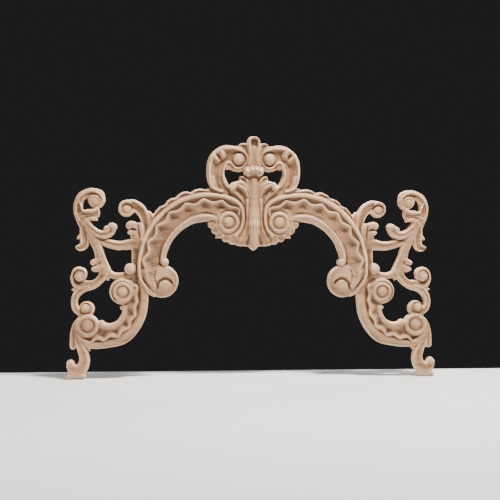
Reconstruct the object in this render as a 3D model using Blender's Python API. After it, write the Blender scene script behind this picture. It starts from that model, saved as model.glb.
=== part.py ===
"""A carved rococo crest: one pierced piece of pale hardwood with a flat back, made to be glued to a frame."""
import math

import bmesh
import bpy
import numpy as np

# Driving dimensions, in metres
WIDTH = 0.600
STEM_HEIGHT = 0.021
GRID = 0.0017
SLENDER = 0.00025

# The pattern is drawn on the right half of a board 600 units wide, x from the centre line, z up.
DRAWN_WIDTH = 600.0
DRAWN_TOP = 134.0
DRAWN_FOOT = -264.0
UNIT = WIDTH / DRAWN_WIDTH

# Heights of the carving above its back, in the same units
CROWN = STEM_HEIGHT / UNIT - 0.45
FIELD = 9.0

# How the drawn heights are joined, rounded over and cut down to the outline
MELT = 2.0
ARRIS = 3.0
EASE = 0.1
WALL_SLOPE = 9.0
OPEN_AIR = -8.0
FLOOR = -4.0
SAMPLE = 1.5

# How many triangles the face of one half is thinned to
HALF_FACES = 3950


def flowing(route):
    """The stations of a route joined by one smooth curve and sampled along it."""
    points = np.array(route, float)
    if len(points) == 1:
        return points
    points = np.vstack([2 * points[0] - points[1], points, 2 * points[-1] - points[-2]])
    samples = []
    for before, start, end, after in zip(points, points[1:], points[2:], points[3:]):
        count = max(2, math.ceil(math.dist(start[:2], end[:2]) / SAMPLE))
        u = np.linspace(0, 1, count, endpoint=False)[:, None]
        bend = 2 * before - 5 * start + 4 * end - after
        twist = 3 * start - before - 3 * end + after
        samples.append(start + 0.5 * ((end - before) * u + bend * u**2 + twist * u**3))
    return np.vstack([*samples, points[-2:-1]])


def spiral(centre, radii, degrees, half_widths):
    """Stations round a centre, with the radius and the half width running evenly to their last values."""
    count = round(abs(degrees[1] - degrees[0]) / 24) + 2
    angle = np.radians(np.linspace(*degrees, count))
    radius = np.linspace(*radii, count)
    x = centre[0] + radius * np.cos(angle)
    z = centre[1] + radius * np.sin(angle)
    return list(zip(x, z, np.linspace(*half_widths, count)))


def soft_top(across):
    return 0.5 + 0.5 * np.cos(np.pi * across)


def round_top(across):
    return np.clip(1 - across**2, 0, 1) ** 0.75


def flat_top(across):
    return np.sqrt(np.clip(1 - across**4, 0, 1))


def moulded(*turns):
    """A cross-section that eases through its ridges and hollows, each (place across, share of height)."""
    places, shares = np.array(turns).T

    def section(across):
        i = np.clip(np.searchsorted(places, across, side="right") - 1, 0, len(places) - 2)
        u = np.clip((across - places[i]) / (places[i + 1] - places[i]), 0, 1)
        return shares[i] + (shares[i + 1] - shares[i]) * u * u * (3 - 2 * u)

    return section


SOFT_LIPS = moulded((-1, 0.4), (-0.55, 1), (0, 0.72), (0.55, 1), (1, 0.4))
PETAL = moulded((-1, 0.5), (-0.4, 0.1), (0.1, 0.4), (0.6, 1), (1, 0.6))


class Relief:
    """Height of the carved face above the flat back, over points of the half-plan."""

    def __init__(self, x, z):
        self.x = x
        self.z = z
        self.height = np.zeros(x.shape)
        self.room = np.full(x.shape, OPEN_AIR)

    def beside(self, route, reach):
        """Points near a route: distance from it, side, its half width there and how far along it they lie."""
        line = flowing(route)
        reach += line[:, 2].max()
        near = np.flatnonzero(
            (self.x > line[:, 0].min() - reach) & (self.x < line[:, 0].max() + reach)
            & (self.z > line[:, 1].min() - reach) & (self.z < line[:, 1].max() + reach))
        x = self.x[near]
        z = self.z[near]
        past_edge = np.hypot(x - line[0, 0], z - line[0, 1]) - line[0, 2]
        side = np.ones(len(near))
        width = np.full(len(near), line[0, 2])
        travel = np.zeros(len(near))
        done = 0.0
        for start, end in zip(line, line[1:]):
            dx, dz, widening = end - start
            length = math.hypot(dx, dz)
            u = np.clip(((x - start[0]) * dx + (z - start[1]) * dz) / length**2, 0, 1)
            here = start[2] + u * widening
            past = np.hypot(x - start[0] - u * dx, z - start[1] - u * dz) - here
            closer = past < past_edge
            past_edge = np.where(closer, past, past_edge)
            width = np.where(closer, here, width)
            left = dx * (z - start[1]) - dz * (x - start[0]) >= 0
            side = np.where(closer, np.where(left, 1.0, -1.0), side)
            travel = np.where(closer, done + u * length, travel)
            done += length
        return near, past_edge + width, side, width, travel / max(done, 1e-9)

    def add(self, near, height):
        """Keeps the higher of two heights, eased where they meet."""
        old = self.height[near]
        share = np.clip(0.5 + 0.5 * (height - old) / MELT, 0, 1)
        self.height[near] = old + (height - old) * share + MELT * share * (1 - share)

    def band(self, route, level, section=round_top, edge=0.7, slope=2.4, outline=True):
        """Wood along a route; level is its height, or two, and edge the share of it where its sides start."""
        near, away, side, width, travel = self.beside(route, 6)
        first, last = level if isinstance(level, tuple) else (level, level)
        across = side * np.clip(away / width, 0, 1)
        height = (first + (last - first) * travel) * (edge + (1 - edge) * section(across))
        self.add(near, height - slope * np.clip(away - width, 0, None))
        if outline:
            self.room[near] = np.maximum(self.room[near], width - away + EASE)

    def lip(self, route, level, edge=0.72):
        """A soft ridge that only rides on wood already there."""
        self.band(route, level, soft_top, edge, 1.5, outline=False)

    def groove(self, route, depth):
        """A round-bottomed groove, or a pit where the route is a single station."""
        near, away, _, width, travel = self.beside(route, 1)
        ends = np.clip(np.minimum(travel, 1 - travel) * 8 + 0.25, 0, 1) if len(route) > 1 else 1
        self.height[near] -= depth * ends * (1 - np.clip(away / width, 0, 1) ** 2) ** 2

    def ruffle(self, edge, level, waves, swing, sink, flare, phase, gouges):
        """A field right of its edge, which waves to and fro and is gouged into a fan under each wave."""
        near, away, side, field, travel = self.beside(edge, 8)
        turn = 2 * np.pi * (waves * travel + phase)
        wave = 1 - np.abs(np.sin(turn / 2)) ** 1.6
        first, last = swing
        inside = (first + (last - first) * travel) * (2 * wave - 0.9) - side * away
        inward = np.clip(inside / field, 0, 1)
        roll = np.exp(-((inside - 2.4) / 2.4) ** 2)
        fan = wave * np.exp(-((inward - 0.46) / 0.2) ** 2)
        height = level - sink * (1 - np.exp(-inward * 3)) + (0.6 + flare * wave) * roll - 0.6
        height -= fan * (1.6 + 0.5 * np.cos(turn * gouges))
        height -= 1.4 * np.clip(-inside, 0, None) + 3.0 * np.clip(inside - field, 0, None)
        height -= 8 * (1 - np.clip(np.minimum(travel, 1 - travel) * 20, 0, 1))
        self.add(near, height)

    def volute(self, eye, radius, level, turn):
        """A turned volute: a lip winds out from a domed eye and widens, with a groove between them."""
        self.band([(*eye, 1.7 * radius)], 0.84 * level, flat_top, 0.9)
        lip = spiral(eye, (1.3 * radius, 1.48 * radius), turn, (0.26 * radius, 0.38 * radius))
        self.band(lip, 0.92 * level, round_top, 0.8)
        bend = (turn[0] + 70, turn[0] + 340)
        gap = spiral(eye, (1.04 * radius, 1.12 * radius), bend, (0.2 * radius, 0.3 * radius))
        self.groove(gap, 0.06 * level)
        self.band([(*eye, 0.98 * radius)], level, round_top, 0.8, 3)

    def face(self):
        """The height with its sides cut down to the outline and the arris rounded over."""
        wall = WALL_SLOPE * self.room
        share = np.clip(0.5 + 0.5 * (self.height - wall) / ARRIS, 0, 1)
        return self.height + (wall - self.height) * share - ARRIS * share * (1 - share)


def carve_arch(wood):
    """Each arm is a wide C-scroll that springs from the stem: a board with a leafy fringe outside, a
    round ribbon, a ruffle that waves beneath it, and a smooth rim round the opening.
    """
    wood.band([(36, 17, 19), (46, 17.5, 22), (70, 14.5, 22), (103, 8.5, 21), (130, -7.5, 20.5),
               (150, -30.5, 20), (164, -62, 20.5), (165, -92, 21), (158, -110, 18)], FIELD, flat_top, 0.95)
    for root, crown, tip, spread in [((64, 37), (88, 37.5), (103, 33), 7),
                                     ((98, 33), (112, 32.5), (127, 24), 7),
                                     ((120, 25), (132, 22), (143, 13), 6.6),
                                     ((138, 14), (148, 10), (160, -1), 6.2)]:
        wood.band([(*root, 4), (*crown, spread), (*tip, 4)], 13.2, PETAL, 0.78)
    wood.ruffle([(23, -14, 12), (23.5, 3, 15), (31, 14.5, 18), (47, 21, 21), (72, 25.5, 24),
                 (100, 20.5, 25), (127, 9, 25), (148, -9, 25), (164, -33, 25), (174, -60, 26),
                 (177.5, -85, 26), (172, -104, 22)], level=15.5, waves=9, swing=(3.0, 3.0), sink=3.6,
                flare=1.0, phase=0.14, gouges=9)
    wood.band([(29, -31, 5), (20.5, -20, 4.6), (17.5, -2, 4.2), (21, 15, 4.2), (32, 25.5, 4.2),
               (51, 32, 4.2), (80, 34.2, 4.4), (110, 28, 4.4), (138, 12.3, 4.4), (160, -10.5, 4.4),
               (174.3, -35, 4.2), (182.3, -63, 4), (184.6, -88, 3.6), (180, -105, 3.6), (168, -120.3, 4.4),
               (160, -125.5, 4.6)], (17, 15.5), round_top, 0.68)
    wood.band([(54, 3, 6), (62, -1, 6.5)], 11, flat_top, 0.9)
    wood.band([(61, -5, 2.6), (70, -2, 5.2), (92, -3.2, 6), (116, -15.4, 6), (135, -35, 6), (145, -58, 5.6),
               (146.5, -72, 5)], 15.3, moulded((-1, 0.1), (-0.45, 0.75), (0.4, 1), (1, 0.6)), 0.72)
    wood.groove([(60.5, -6, 2.4), (63.5, 0, 2.6), (70, 3.4, 2.8), (80, 4.6, 2.8), (104, -2, 2.8),
                 (128, -20, 2.8), (145, -43.5, 2.8), (151.3, -63, 2.6), (151.5, -82, 2)], 2.2)
    wood.band([(143.8, -74, 6.6)], 16.5, round_top, 0.72)


def carve_ball_scroll(wood):
    """The arm ends in a fat closed scroll, with a small eye of its own and a tongue turned over it."""
    wood.band([(147.8, -104.8, 26.4)], 18.5, round_top, 0.62)
    wood.groove([(130.5, -112, 2.2), (135, -103.8, 4), (144, -100.4, 4.4), (153, -105.6, 4.2),
                 (155.4, -115, 3.4), (160.5, -122, 3), (167, -116, 2.4), (177, -103.5, 2)], 3.8)
    wood.band([(144.3, -112.8, 9.8)], 18, round_top, 0.8)
    wood.band([(172, -84, 9), (171, -98, 11), (165, -112, 8), (160, -119, 5)], (10.5, 15), flat_top, 0.9)
    wood.groove([(158, -86, 2), (161, -96, 3), (159.5, -104, 3), (156, -112, 2.8)], 2.4)
    wood.groove([(171, -96, 4), (165, -98, 4.4), (160.5, -101, 3)], 1.6)
    wood.lip([(173.5, -99, 4.4), (166, -108, 5.4), (160, -119.5, 3)], 17.4, 0.84)
    wood.groove([(180, -97, 2), (175, -106, 2.6), (167, -115.5, 2.2)], 1.8)


def carve_stem(wood):
    """A fluted stem stands on the centre line, and opens into a fan of lobes at its foot."""
    wood.band([(0, 66, 10), (0, 40, 17), (4, 6, 22), (8, -22, 24), (14, -29, 17.5)], 12, flat_top, 0.97)
    wood.band([(0, 0, 10), (0, -26, 12), (0, -41, 10.5), (0, -50.5, 4.6)], (13, 17), round_top, 0.76)
    wood.band([(10, -8, 5), (13, -22, 8), (17, -36, 10.8), (24, -37.2, 10)], (13.5, 14.5), round_top, 0.82)
    wood.band([(28, -28, 6), (33.8, -37.5, 8)], 14, round_top, 0.82)
    wood.lip([(0, 58, 6), (0, 36, 11), (0, 15, 13.5), (0, -12, 14)], (14.5, CROWN), 0.72)
    wood.lip([(0, -12, 14), (0, -30, 13), (0, -46, 9)], (CROWN, 17), 0.72)
    wood.groove([(14, 16, 2.2), (13, -4, 3), (15.5, -20, 3.2), (24, -31, 2.6)], 1.4)
    wood.groove([(7, -32, 2), (9.5, -40, 2.4), (12, -47, 2)], 2.2)
    wood.groove([(19, -30, 2), (25, -38, 2.6), (29.5, -44, 2)], 1)
    for flute in [4.6, 9.4]:
        wood.groove([(flute, 54 - flute, 1.6), (0.9 * flute, 38, 2), (0.6 * flute, 14, 1.4)], 1)


def carve_centre_volutes(wood):
    """Beside the stem each arm rolls up in a volute on a collar of short leaf tips."""
    eye = (41.3, -9.7)
    for root, tip, spread in [((52, -9), (67.5, -13), 7.2), ((50, -14), (61, -21.5), 8),
                              ((47, -19), (54.5, -28.6), 7.4), ((42, -24), (44.3, -34.2), 7.8)]:
        wood.band([(*root, spread), (*tip, spread - 0.6)], 13, round_top, 0.78)
    wood.band([(55, -29, 4.4), (60, -34.2, 1.4)], 11)
    wood.band([(*eye, 22)], 11, flat_top, 0.95)
    wood.lip(spiral(eye, (21.4, 22), (195, 345), (4.6, 5.6)), 14.5, 0.82)
    wood.lip(spiral(eye, (20, 18.8), (-55, 35), (4.2, 3.4)), 15, 0.82)
    wood.groove(spiral(eye, (17.6, 17), (40, 320), (2.8, 2.4)), 1.8)
    wood.volute(eye, 9.6, 18, (-20, 340))


def carve_crest_scrolls(wood):
    """An S-shaped scroll rises from each side of the stem and rolls in beside the palmette."""
    eye = (25, 92)
    wood.band([(22, 24, 9), (46, 41.5, 11), (58, 55, 14.5), (61.8, 70, 14.5), (58.5, 88, 15.8),
               (46, 97.5, 17.5), (33, 95, 19.5), (25.5, 93.3, 20.9)], 11.5, flat_top, 0.9)
    wood.band([(24, 34, 7), (33, 42, 6)], 11, flat_top, 0.95)
    wood.band([(44, 34, 7), (66, 40, 6.4), (74, 42, 3.5)], (12, 10), flat_top, 0.9)
    wood.band([(42.5, 82.3, 6.6)], 14, round_top, 0.8)
    wood.groove([(42, 82.5, 3.4)], 1.5)
    wood.groove([(59, 52, 6), (61, 75, 8), (52, 90, 8), (43, 97, 7)], 1.6)
    wood.lip([(52, 40, 4), (66, 46, 4.4), (71.5, 60, 4.6), (71.5, 80, 5), (66.6, 95.4, 5.2),
              (55.6, 106.4, 5.2), (42, 109.8, 5.2), (27, 108.4, 5.4), (15, 101.5, 5.6), (12, 90, 5.6),
              (18.8, 79.5, 5), (29, 78.5, 4.4), (36.5, 84.7, 3.4), (42, 87, 3), (47.2, 81, 3.4),
              (50.4, 66, 3.6), (48, 55.5, 3.6), (42.5, 47, 3.6), (32, 39, 3.6), (22, 29, 3), (17, 20, 2.4)],
             (16.5, 14), 0.7)
    wood.groove(spiral(eye, (12, 12), (60, 330), (3, 2.4)), 1.5)
    wood.band([(*eye, 9.5)], 16.8, round_top, 0.78, 3)
    for root, crown, tip, width in [((52, 104), (51.5, 99.5), (52, 94), 4.8),
                                    ((65, 95), (62.5, 93), (60, 88.5), 4.2),
                                    ((70, 64), (67, 58.5), (62.5, 51), 3.8)]:
        wood.lip([(*root, width), (*crown, width), (*tip, 2.4)], (17, 15), 0.8)
    wood.groove([(61.5, 101, 2.6), (57.6, 95.5, 2.4)], 2)
    wood.groove([(70.5, 91, 2), (70, 76, 2), (69.5, 69, 1.4)], 1.2)
    wood.groove([(62.5, 60, 2), (58.5, 49, 2.4), (50, 38, 2)], 1.6)


def carve_leaves_under_the_crest(wood):
    """Acanthus leaves curl out of the stem, below a collar of beads round its neck."""
    wood.band([(0, 68, 9), (0, 54, 8.5), (0, 34, 10)], (13, 15.5), round_top, 0.8)
    wood.band([(13.5, 46, 8.5), (16.5, 57, 7.4), (21.7, 64, 1.4)], 13.5, PETAL, 0.8)
    wood.band([(12, 14, 5), (13, 34, 9.5), (21.5, 47.2, 10), (30, 48.7, 7.8)], (12.5, 17), PETAL, 0.72)
    wood.lip([(8.5, 14, 2.4), (10, 30, 3.2), (16, 44, 4), (26, 50.5, 3.4)], (13, 18), 0.82)
    wood.band([(32, 50, 6.2), (34.5, 46.5, 6.2)], 19, round_top, 0.72)
    wood.lip([(13, 8, 2.6), (16, 20, 4), (25, 33, 4.6), (36, 42, 4)], (12, 16), 0.8)
    wood.band([(0, 73.2, 7.6), (9, 72.6, 8)], 17, round_top, 0.8)
    for bead in [(3.7, 75), (11, 73)]:
        wood.lip([(*bead, 5.6)], 19.5, 0.84)


def carve_palmette(wood):
    """A fluted shell tops the crest, with one small leaf on each side."""
    wood.band([(6, 98, 7), (12, 109.5, 8), (17, 113.5, 5.6), (21.5, 115.5, 2.4)], 13.5, PETAL, 0.8)
    wood.band([(0, 82, 12.5), (0, 97, 11), (0, 112, 9)], (15, 16.5), round_top, 0.78)
    wood.lip([(5.5, 84, 4), (4.5, 98, 4), (7.5, 112, 3.4)], (16, 17), 0.86)
    wood.band([(0, 108, 8), (0, 119.6, 11)], (15, 18.5), moulded((-1, 0.5), (-0.78, 1), (-0.3, 0.1),
                                                                 (0, 0.25), (0.3, 0.1), (0.78, 1),
                                                                 (1, 0.5)), 0.7)


def carve_shoulder_scroll(wood):
    """A small scroll stands in the angle between arch and branch, over two leaf tips."""
    wood.band([(164, -14, 5.5), (165.5, -2, 5), (168.5, 4.5, 3.6)], 12)
    wood.band([(168, -22, 5), (170, -4, 5), (173.5, 5, 4.4)], 12.5)
    wood.band([(173.5, -30, 4.5), (173.5, -16, 6), (176, -2, 7.8), (182.5, 10, 8.8), (194, 17, 9.6),
               (204.6, 12.4, 13.6)], 12.5, moulded((-1, 0.6), (-0.5, 0.2), (0.1, 0.45), (0.66, 1),
                                                   (1, 0.4)), 0.72)
    wood.lip(spiral((204.6, 12.4), (10.6, 10.6), (125, -150), (3.6, 2.8)), 14.5)
    wood.groove(spiral((204.8, 10), (8.8, 8.4), (150, -70), (2.4, 1.8)), 2.6)
    wood.band([(204.3, 9.6, 7.2)], 15.5, round_top, 0.74)
    wood.band([(183, -50, 8), (188, -36, 10), (189.5, -21, 9), (196, -15, 7.4), (199, -15, 7)], (11, 15),
              round_top, 0.8)
    wood.groove([(188.5, -23.5, 1.8), (194, -21, 2.4), (204, -22, 2)], 4)
    wood.band([(188, -33, 6), (192.5, -28, 5.4), (199.5, -26, 4)], 13.5)
    wood.band([(181, -38, 4), (181, -22, 5), (183, -14.5, 4.8)], 13.5, PETAL, 0.76)
    wood.groove([(187.6, -11, 1.8), (185, -20, 2), (183.6, -36, 1.8)], 2.6)


def carve_top_scroll(wood):
    """An open scroll at the upper corner, wrapped by a leaf cuff where it leaves the branch."""
    wood.band([(272, -16, 8), (277, -5, 8), (281, 8, 8), (281, 20, 7.4), (275.8, 30.8, 7.2), (264, 37, 7.2),
               (253, 30, 13.9)], 12, flat_top, 0.78)
    wood.band([(252.3, 25.5, 13.8)], 12, flat_top, 0.78)
    wood.lip([(279, -8, 3), (285, 6, 3.2), (283.2, 21, 3.4), (275.5, 33, 3.6), (262, 39.6, 3.6),
              (249, 36.3, 3.6), (243.3, 28, 3.4), (244.8, 18, 3.2), (252, 11, 3)], 15.5)
    wood.groove([(270, 33, 2), (258, 35, 3), (249, 31.5, 2.8), (246.5, 23, 2.4), (251.5, 14.5, 2)], 2.4)
    wood.band([(254.8, 23.6, 9.3)], 15.5, round_top, 0.76)
    wood.groove(spiral((255, 23.4), (5.4, 5.4), (200, 20), (1.8, 1.6)), 1.1)
    wood.lip([(280, 22, 2), (275.5, 14.5, 4), (273, 7, 3.4)], 14.5)
    wood.band([(278, -3, 8), (268, 1, 9.6), (256.5, 3, 9), (252, 10.5, 4.5)], 12, flat_top, 0.85)
    for root, crown, fall, tip, level in [((249.5, 11.5), (258, 7.4), (269, 7.6), (277, 16), 16),
                                          ((255, 1.5), (263, 1.5), (274, -1), (282, -6), 13.8),
                                          ((251.5, -5.8), (259, -4), (268, -7), (274, -14), 14.4)]:
        wood.lip([(*root, 3), (*crown, 4.8), (*fall, 4.4), (*tip, 2.6)], level, 0.8)
    wood.band([(262, -3, 4.5), (252, -6.4, 1.8)], 12.5)


def carve_branches(wood):
    """Plain branches tie the top scroll to the arch and to the lower scroll, with buds along them."""
    wood.band([(186, -46, 9), (197, -45, 9), (210, -47, 7.4), (222, -46.8, 7.2), (241, -41, 6.8),
               (259, -28.5, 7), (273, -8, 7.5)], (11, 13), SOFT_LIPS, 0.72)
    wood.groove([(230, -36.6, 1.6), (243, -37, 2.4), (257, -29, 2)], 3.5)
    wood.band([(228, -18, 7.2), (230.5, -25.5, 7), (239, -30, 7), (250, -29, 6.8), (261, -21, 6.6),
               (270, -10, 6.8)], (14.5, 13), SOFT_LIPS, 0.72)
    wood.band([(226.3, -17.8, 7)], 16, round_top, 0.74)
    wood.band([(235.8, -21, 5.4), (237, -26, 4)], 14.5)
    wood.band([(266, -24, 6.6), (255.5, -41, 7.6), (249.3, -55, 7.6), (245, -71, 8.6), (239, -88, 10)], 13,
              round_top, 0.74)
    wood.band([(272, -14, 7), (272, -32, 7), (271.5, -45, 7), (277, -50.3, 6.2), (282, -50.4, 3.8)],
              (12.5, 13), PETAL, 0.76)
    wood.band([(275, -30, 4.5), (281.5, -35.5, 2.2)], 11.5)
    wood.band([(246, -69, 5), (257.2, -74.6, 5.2)], (12.5, 14), round_top, 0.76)
    wood.groove([(246, -73, 1.6), (249, -78.5, 2.2), (256, -80.5, 1.6)], 1.6)
    wood.band([(244, -80, 5), (251, -84.5, 5.6), (256.6, -85.2, 4.2)], 13.5, round_top, 0.76)
    wood.band([(240, -84, 7), (229, -94, 5.6), (214, -96.5, 5.4), (194, -92, 7)], (12, 10.5), round_top, 0.74)
    wood.band([(235, -94, 4.6), (234.2, -101.3, 2.6)], 11)
    wood.band([(187, -46, 9.4), (189, -66, 7.6), (188.6, -96, 8.4)], 10, moulded((-1, 1), (-0.2, 0.3),
                                                                                 (1, 0.6)), 0.8)
    wood.band([(198.4, -85.2, 9.6)], 16.5, round_top, 0.66)


def carve_outer_branch(wood):
    """An S-shaped branch runs down the outer side, with a volute at each bend."""
    wood.band([(239, -88, 9), (243.5, -98, 7), (254.5, -108.5, 6.9), (267, -111.8, 8.6), (280, -110, 8.6),
               (286.5, -101, 7.4), (283, -90, 7.6), (275.5, -91, 8.2), (275.5, -96, 8.2)], 12.5,
              moulded((-1, 0.5), (-0.6, 1), (0, 0.5), (0.5, 0.3), (1, 0.3)), 0.74)
    wood.groove(spiral((279.3, -97), (9.2, 9), (-160, 60), (2.2, 1.8)), 2.6)
    wood.band([(279.3, -97, 8)], 15.5, round_top, 0.76)
    wood.groove(spiral((279.5, -97.2), (4.8, 4.8), (230, 30), (1.6, 1.4)), 1)
    wood.band([(282, -116, 4.6), (290, -118.2, 1.9)], 11)
    wood.band([(266, -115, 4.5), (277, -118.8, 6.2), (285, -128, 6), (287.2, -139, 5.6), (284.5, -149, 6),
               (276, -155.5, 6.4)], 12.5, SOFT_LIPS, 0.74)
    wood.band([(267.8, -149, 12.6)], 12.5, flat_top, 0.78)
    wood.band([(266, -157, 8), (276, -158, 6)], 11)
    wood.groove(spiral((269.5, -148.3), (8.6, 8.6), (150, -150), (2.2, 1.8)), 2.2)
    wood.band([(270, -148.3, 7.2)], 15, round_top, 0.76)


def carve_lower_scroll(wood):
    """A large C-scroll with a smooth outer rim, a ruffle within it and a volute at each end."""
    wood.band([(189, -112, 18), (189.5, -138, 19.6), (194.5, -163, 19), (212, -186, 19), (236, -192.5, 19),
               (257, -191, 22), (268, -184, 24.5)], FIELD, flat_top, 0.93)
    wood.band([(210.3, -120.8, 21.6)], 11, flat_top, 0.9)
    wood.ruffle([(268, -203, 14), (240, -197, 20), (222, -193.5, 20), (206, -183.5, 20), (195.5, -169, 20),
                 (189.5, -151, 20), (188, -131, 20), (187.8, -116, 16), (194, -105, 14)], level=14.6,
                waves=6.8, swing=(3.0, 1.0), sink=2.8, flare=0.9, phase=0.71, gouges=7)
    wood.band([(183, -104, 4), (177, -120, 6.6), (177.3, -141, 6.9), (182.9, -164, 6.9), (196.5, -184.3, 7),
               (218, -199.6, 7), (243, -205.6, 6.4), (260, -206.3, 6), (276, -197.5, 6), (283.3, -182, 5.4),
               (281, -169, 4.4)], (13.5, 14.5), round_top, 0.78)
    wood.band([(206.5, -148, 4.4), (208.3, -160, 5), (216, -171.8, 5.8), (229, -178.2, 6.2),
               (241, -177, 6.4)], 14, round_top, 0.74)
    wood.band([(244.6, -174, 6.8)], 15, round_top, 0.78)
    eye = (211, -122)
    wood.lip(spiral(eye, (18.4, 18), (-75, 195), (4.4, 4.2)), 14, 0.78)
    wood.groove(spiral(eye, (15.6, 15.6), (-60, 200), (2.4, 2)), 2.2)
    wood.volute(eye, 9, 17, (-60, 300))
    wood.band([(206, -146, 4.8), (210.8, -147.3, 3.9)], 13)
    wood.volute((266.3, -175), 10, 17, (30, 390))


def carve_foot(wood):
    """A tapering leaf and a hooked foot end each arm, on a small plinth."""
    wood.band([(275, -162, 4), (282.6, -172, 5.6), (287.6, -186, 6), (288.4, -200, 6.2), (289.6, -209, 5)],
              (12, 12.5), moulded((-1, 0.3), (-0.3, 0.4), (0.5, 1), (1, 0.5)), 0.78)
    wood.band([(286, -185, 3), (283, -200, 4.5), (275, -215, 7.6), (271, -230, 8.6), (276, -244, 9.8),
               (286, -247, 9.8), (292.3, -241.5, 7.5)], 13, SOFT_LIPS, 0.74)
    wood.band([(268, -211, 4.4), (264, -214.8, 2.2)], 11)
    wood.band([(292.9, -236.5, 7)], 15, round_top, 0.74)
    wood.band([(273.2, -255.8, 4.3), (280, -255.3, 3.8), (290, -255.3, 3.8), (295.7, -256.2, 4.2)], 12.5,
              round_top, 0.8)


CARVERS = [carve_arch, carve_ball_scroll, carve_stem, carve_centre_volutes, carve_crest_scrolls,
           carve_leaves_under_the_crest, carve_palmette, carve_shoulder_scroll, carve_top_scroll,
           carve_branches, carve_outer_branch, carve_lower_scroll, carve_foot]


def face_of_half():
    """A grid in front of the back plane, with its points drawn out to the carved face."""
    margin = 4.0
    columns = math.ceil((DRAWN_WIDTH / 2 + 2 * margin) * UNIT / GRID)
    rows = math.ceil((DRAWN_TOP - DRAWN_FOOT) * UNIT / GRID)
    sheet = bmesh.new()
    bmesh.ops.create_grid(sheet, x_segments=columns, y_segments=rows, size=0.5)
    plan = np.array([vertex.co for vertex in sheet.verts])
    x = DRAWN_WIDTH / 4 + plan[:, 0] * (DRAWN_WIDTH / 2 + 2 * margin)
    z = (DRAWN_TOP + DRAWN_FOOT) / 2 + plan[:, 1] * (DRAWN_TOP - DRAWN_FOOT)
    wood = Relief(np.abs(x), z)
    for carve in CARVERS:
        carve(wood)
    for vertex, across, up, height in zip(sheet.verts, x, z, wood.face()):
        vertex.co = (across * UNIT, -max(height, FLOOR) * UNIT, up * UNIT)
    behind = -0.999 * FLOOR * UNIT
    air = [face for face in sheet.faces if all(corner.co.y > behind for corner in face.verts)]
    bmesh.ops.delete(sheet, geom=air, context="FACES")
    bmesh.ops.recalc_face_normals(sheet, faces=sheet.faces)
    return sheet


def thinned(sheet, faces):
    """The same surface with fewer triangles, most of them left where it bends."""
    bmesh.ops.triangulate(sheet, faces=sheet.faces)
    mesh = bpy.data.meshes.new("carved_face")
    sheet.to_mesh(mesh)
    blank = bpy.data.objects.new("carved_face", mesh)
    bpy.context.scene.collection.objects.link(blank)
    blank.modifiers.new("Thin", "DECIMATE").ratio = faces / len(mesh.polygons)
    surface = bpy.data.meshes.new_from_object(blank.evaluated_get(bpy.context.evaluated_depsgraph_get()))
    sheet.clear()
    sheet.from_mesh(surface)
    bpy.data.objects.remove(blank)


def settle(solid, axis):
    """Puts points that nearly touch a plane through the origin on it."""
    for vertex in solid.verts:
        if abs(vertex.co[axis]) < SLENDER:
            vertex.co[axis] = 0.0


def cut_away(solid, axis, normal):
    """Cuts on a plane through the origin and keeps what lies behind its normal."""
    settle(solid, axis)
    everything = solid.verts[:] + solid.edges[:] + solid.faces[:]
    bmesh.ops.bisect_plane(solid, geom=everything, dist=SLENDER / 1000, plane_co=(0, 0, 0), plane_no=normal,
                           clear_outer=True)


def carved_crest():
    """Half the face is cut at the centre line, mirrored, cut at the back plane and closed flat."""
    solid = face_of_half()
    thinned(solid, HALF_FACES)
    cut_away(solid, 0, (-1, 0, 0))
    half = solid.verts[:] + solid.edges[:] + solid.faces[:]
    bmesh.ops.mirror(solid, geom=half, axis="X", merge_dist=SLENDER / 1000)
    cut_away(solid, 1, (0, 1, 0))
    bmesh.ops.remove_doubles(solid, verts=solid.verts, dist=SLENDER / 2)
    settle(solid, 1)
    rim = [edge for edge in solid.edges if edge.is_boundary]
    bmesh.ops.triangle_fill(solid, use_beauty=True, edges=rim, normal=(0, 1, 0))
    bmesh.ops.recalc_face_normals(solid, faces=solid.faces)
    mesh = bpy.data.meshes.new("carved_crest")
    solid.to_mesh(mesh)
    solid.free()
    mesh.shade_smooth()
    mesh.set_sharp_from_angle(angle=math.radians(50))
    return bpy.data.objects.new("carved_crest", mesh)


def pale_hardwood():
    material = bpy.data.materials.new("pale_hardwood")
    material.use_nodes = True
    shader = material.node_tree.nodes["Principled BSDF"]
    shader.inputs["Base Color"].default_value = (0.62, 0.43, 0.31, 1)
    shader.inputs["Roughness"].default_value = 0.6
    shader.inputs["Metallic"].default_value = 0.0
    return material


def main():
    for leftover in list(bpy.data.objects):
        bpy.data.objects.remove(leftover)
    crest = carved_crest()
    crest.data.materials.append(pale_hardwood())
    bpy.context.scene.collection.objects.link(crest)


main()
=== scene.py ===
"""The looks of a carved crest: the finely carved wood, its floor, its light and its camera."""
import math

import bmesh
import bpy
import numpy as np
from mathutils import Matrix, Vector


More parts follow.
